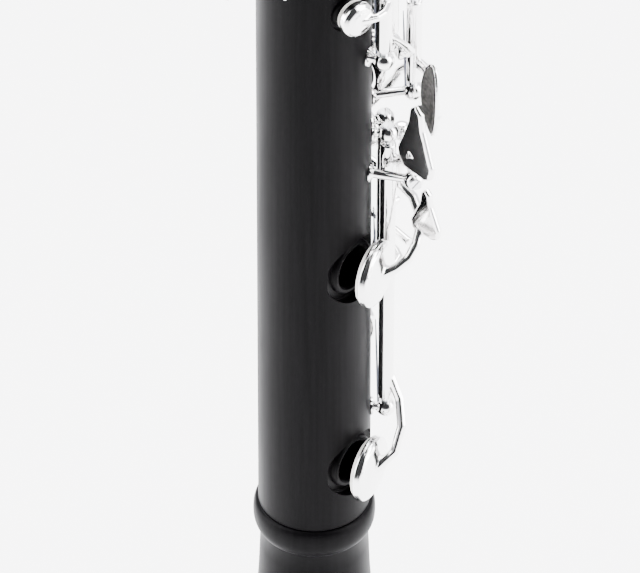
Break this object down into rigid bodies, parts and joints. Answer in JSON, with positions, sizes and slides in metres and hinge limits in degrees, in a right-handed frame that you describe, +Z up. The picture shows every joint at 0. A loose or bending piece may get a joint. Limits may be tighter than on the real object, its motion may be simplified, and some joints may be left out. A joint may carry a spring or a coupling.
{
  "type": "clarinet",
  "caption": "Black wooden clarinet in B flat, standing on its bell, with silver-plated keys, rings and rods, five joined sections, a reed and a ligature.",
  "frame": {"origin": "centre of the bell rim, on the surface that the clarinet stands on", "axes": "+Z up along the bore towards the mouthpiece, -Y out of the front tone holes, -X towards the right hand of the player"},
  "size_m": [0.079, 0.079, 0.6666],
  "materials": {
    "black_wood": "fine open grain, oiled, satin",
    "hard_rubber": "polished",
    "silver_plate": "polished silver plate",
    "steel": "turned and polished",
    "pad_skin": "pale skin over felt",
    "cork": "greased natural cork",
    "cane": "dry cane"
  },
  "bodies": {
    "joints": {"bell": "black_wood", "lower_joint": "black_wood", "upper_joint": "black_wood", "barrel": "black_wood", "mouthpiece": "hard_rubber", "reed": "cane", "ligature": "silver_plate", "ligature_screw_lower": "silver_plate", "ligature_screw_upper": "silver_plate", "bell_tenon_cork": "cork", "middle_tenon_cork": "cork", "barrel_tenon_cork": "cork", "mouthpiece_tenon_cork": "cork", "low_e_hinge_rod": "steel", "low_f_hinge_rod": "steel", "a_flat_hinge_rod": "steel", "lower_ring_hinge_rod": "steel", "sliver_b_hinge_rod": "steel", "lever_hinge_rods": "steel", "f_sharp_cross_rod": "steel", "thumb_rest": "silver_plate", "upper_ring_hinge_rod": "steel", "left_hinge_rod": "steel", "thumb_hinge_rod": "steel", "throat_g_hinge_rod": "steel", "throat_a_cross_rod": "steel", "register_cross_rod": "steel", "side_cross_rod": "steel", "register_tube": "steel"},
    "low_e_key": {"low_e_key": "silver_plate", "low_e_pad": "pad_skin"},
    "low_f_key": {"low_f_key": "silver_plate", "low_f_pad": "pad_skin"},
    "a_flat_key": {"a_flat_key": "silver_plate", "a_flat_pad": "pad_skin"},
    "lower_ring_key": {"lower_ring_key": "silver_plate", "lower_ring_pad": "pad_skin"},
    "sliver_b_key": {"sliver_b_key": "silver_plate"},
    "f_sharp_key": {"f_sharp_key": "silver_plate", "f_sharp_pad": "pad_skin"},
    "lever_f_sharp_key": {"lever_f_sharp_key": "silver_plate"},
    "lever_f_key": {"lever_f_key": "silver_plate"},
    "lever_e_key": {"lever_e_key": "silver_plate"},
    "upper_ring_key": {"upper_ring_key": "silver_plate", "upper_ring_pad": "pad_skin"},
    "c_sharp_key": {"c_sharp_key": "silver_plate", "c_sharp_pad": "pad_skin"},
    "sliver_e_key": {"sliver_e_key": "silver_plate"},
    "thumb_ring_key": {"thumb_ring_key": "silver_plate", "thumb_ring_pad": "pad_skin"},
    "throat_g_key": {"throat_g_key": "silver_plate", "throat_g_pad": "pad_skin"},
    "throat_a_key": {"throat_a_key": "silver_plate", "throat_a_pad": "pad_skin"},
    "register_key": {"register_key": "silver_plate", "register_pad": "pad_skin"},
    "side_key_1": {"side_key_1": "silver_plate"},
    "side_key_2": {"side_key_2": "silver_plate"},
    "side_key_3": {"side_key_3": "silver_plate"},
    "side_key_4": {"side_key_4": "silver_plate"}
  },
  "joints": [
    {"name": "low_e_key_hinge", "type": "hinge", "parent": "joints", "child": "low_e_key", "pos_m": [-0.01324, -0.01278, 0.183], "axis": [0, 0, 1], "range_deg": [-13, 0], "stiffness_Nm_per_rad": 0.05, "springref_deg": 20.05},
    {"name": "low_f_key_hinge", "type": "hinge", "parent": "joints", "child": "low_f_key", "pos_m": [-0.00864, -0.01625, 0.1995], "axis": [0, 0, 1], "range_deg": [-13, 0], "stiffness_Nm_per_rad": 0.05, "springref_deg": 20.05},
    {"name": "a_flat_key_hinge", "type": "hinge", "parent": "joints", "child": "a_flat_key", "pos_m": [-0.01362, -0.02097, 0.2525], "axis": [0, 0, 1], "range_deg": [-6, 0], "stiffness_Nm_per_rad": 0.05, "springref_deg": 20.05},
    {"name": "lower_ring_key_hinge", "type": "hinge", "parent": "joints", "child": "lower_ring_key", "pos_m": [-0.01338, -0.01292, 0.27825], "axis": [0, 0, 1], "range_deg": [0, 5], "stiffness_Nm_per_rad": 0.05, "springref_deg": -20.05},
    {"name": "sliver_b_key_hinge", "type": "hinge", "parent": "joints", "child": "sliver_b_key", "pos_m": [-0.01663, -0.0074, 0.271], "axis": [0, 0, 1], "range_deg": [0, 4.5], "stiffness_Nm_per_rad": 0.05, "springref_deg": -20.05},
    {"name": "f_sharp_key_hinge", "type": "hinge", "parent": "joints", "child": "f_sharp_key", "pos_m": [-0.01418, -0.01882, 0.218], "axis": [-0.7986, 0.6018, 0], "range_deg": [0, 4], "stiffness_Nm_per_rad": 0.05, "springref_deg": -20.05},
    {"name": "lever_f_sharp_key_hinge", "type": "hinge", "parent": "joints", "child": "lever_f_sharp_key", "pos_m": [0.01157, -0.01482, 0.2615], "axis": [0, 0, 1], "range_deg": [0, 5], "stiffness_Nm_per_rad": 0.05, "springref_deg": -20.05},
    {"name": "lever_f_key_hinge", "type": "hinge", "parent": "joints", "child": "lever_f_key", "pos_m": [0.01501, -0.01131, 0.2615], "axis": [0, 0, 1], "range_deg": [0, 5], "stiffness_Nm_per_rad": 0.05, "springref_deg": -20.05},
    {"name": "lever_e_key_hinge", "type": "hinge", "parent": "joints", "child": "lever_e_key", "pos_m": [0.01743, -0.00704, 0.2615], "axis": [0, 0, 1], "range_deg": [0, 5], "stiffness_Nm_per_rad": 0.05, "springref_deg": -20.05},
    {"name": "upper_ring_key_hinge", "type": "hinge", "parent": "joints", "child": "upper_ring_key", "pos_m": [-0.01323, -0.01191, 0.387], "axis": [0, 0, 1], "range_deg": [0, 5], "stiffness_Nm_per_rad": 0.05, "springref_deg": -20.05},
    {"name": "c_sharp_key_hinge", "type": "hinge", "parent": "joints", "child": "c_sharp_key", "pos_m": [0.01323, -0.01191, 0.358], "axis": [0, 0, 1], "range_deg": [0, 9], "stiffness_Nm_per_rad": 0.05, "springref_deg": -20.05},
    {"name": "sliver_e_key_hinge", "type": "hinge", "parent": "joints", "child": "sliver_e_key", "pos_m": [0.01323, -0.01191, 0.397], "axis": [0, 0, 1], "range_deg": [-9, 0], "stiffness_Nm_per_rad": 0.05, "springref_deg": 20.05},
    {"name": "thumb_ring_key_hinge", "type": "hinge", "parent": "joints", "child": "thumb_ring_key", "pos_m": [0.01387, 0.01084, 0.427], "axis": [0, 0, 1], "range_deg": [0, 5], "stiffness_Nm_per_rad": 0.05, "springref_deg": -20.05},
    {"name": "throat_g_key_hinge", "type": "hinge", "parent": "joints", "child": "throat_g_key", "pos_m": [0.01084, -0.01387, 0.454], "axis": [0, 0, 1], "range_deg": [-9, 0], "stiffness_Nm_per_rad": 0.05, "springref_deg": 20.05},
    {"name": "throat_a_key_hinge", "type": "hinge", "parent": "joints", "child": "throat_a_key", "pos_m": [0, -0.01807, 0.461], "axis": [-1, 0, 0], "range_deg": [-8, 0], "stiffness_Nm_per_rad": 0.05, "springref_deg": 20.05},
    {"name": "register_key_hinge", "type": "hinge", "parent": "joints", "child": "register_key", "pos_m": [0, 0.01807, 0.468], "axis": [1, 0, 0], "range_deg": [-7, 0], "stiffness_Nm_per_rad": 0.05, "springref_deg": 20.05},
    {"name": "side_key_1_hinge", "type": "hinge", "parent": "joints", "child": "side_key_1", "pos_m": [-0.01889, -0.00402, 0.407], "axis": [0.1045, 0.9945, 0], "range_deg": [-6, 0], "stiffness_Nm_per_rad": 0.05, "springref_deg": 20.05},
    {"name": "side_key_2_hinge", "type": "hinge", "parent": "joints", "child": "side_key_2", "pos_m": [-0.01847, 0, 0.407], "axis": [0.1045, 0.9945, 0], "range_deg": [-3.4, 0], "stiffness_Nm_per_rad": 0.05, "springref_deg": 20.05},
    {"name": "side_key_3_hinge", "type": "hinge", "parent": "joints", "child": "side_key_3", "pos_m": [-0.01807, 0.00384, 0.407], "axis": [0.1045, 0.9945, 0], "range_deg": [-3.5, 0], "stiffness_Nm_per_rad": 0.05, "springref_deg": 20.05},
    {"name": "side_key_4_hinge", "type": "hinge", "parent": "joints", "child": "side_key_4", "pos_m": [-0.01764, 0.00785, 0.407], "axis": [0.1045, 0.9945, 0], "range_deg": [-2.8, 0], "stiffness_Nm_per_rad": 0.05, "springref_deg": 20.05}
  ],
  "couplings": [
    {"joint": "lever_e_key_hinge", "follows": "low_e_key_hinge", "ratio": -0.35},
    {"joint": "lever_f_key_hinge", "follows": "low_f_key_hinge", "ratio": -0.35},
    {"joint": "lever_f_sharp_key_hinge", "follows": "f_sharp_key_hinge", "ratio": 1.2}
  ]
}
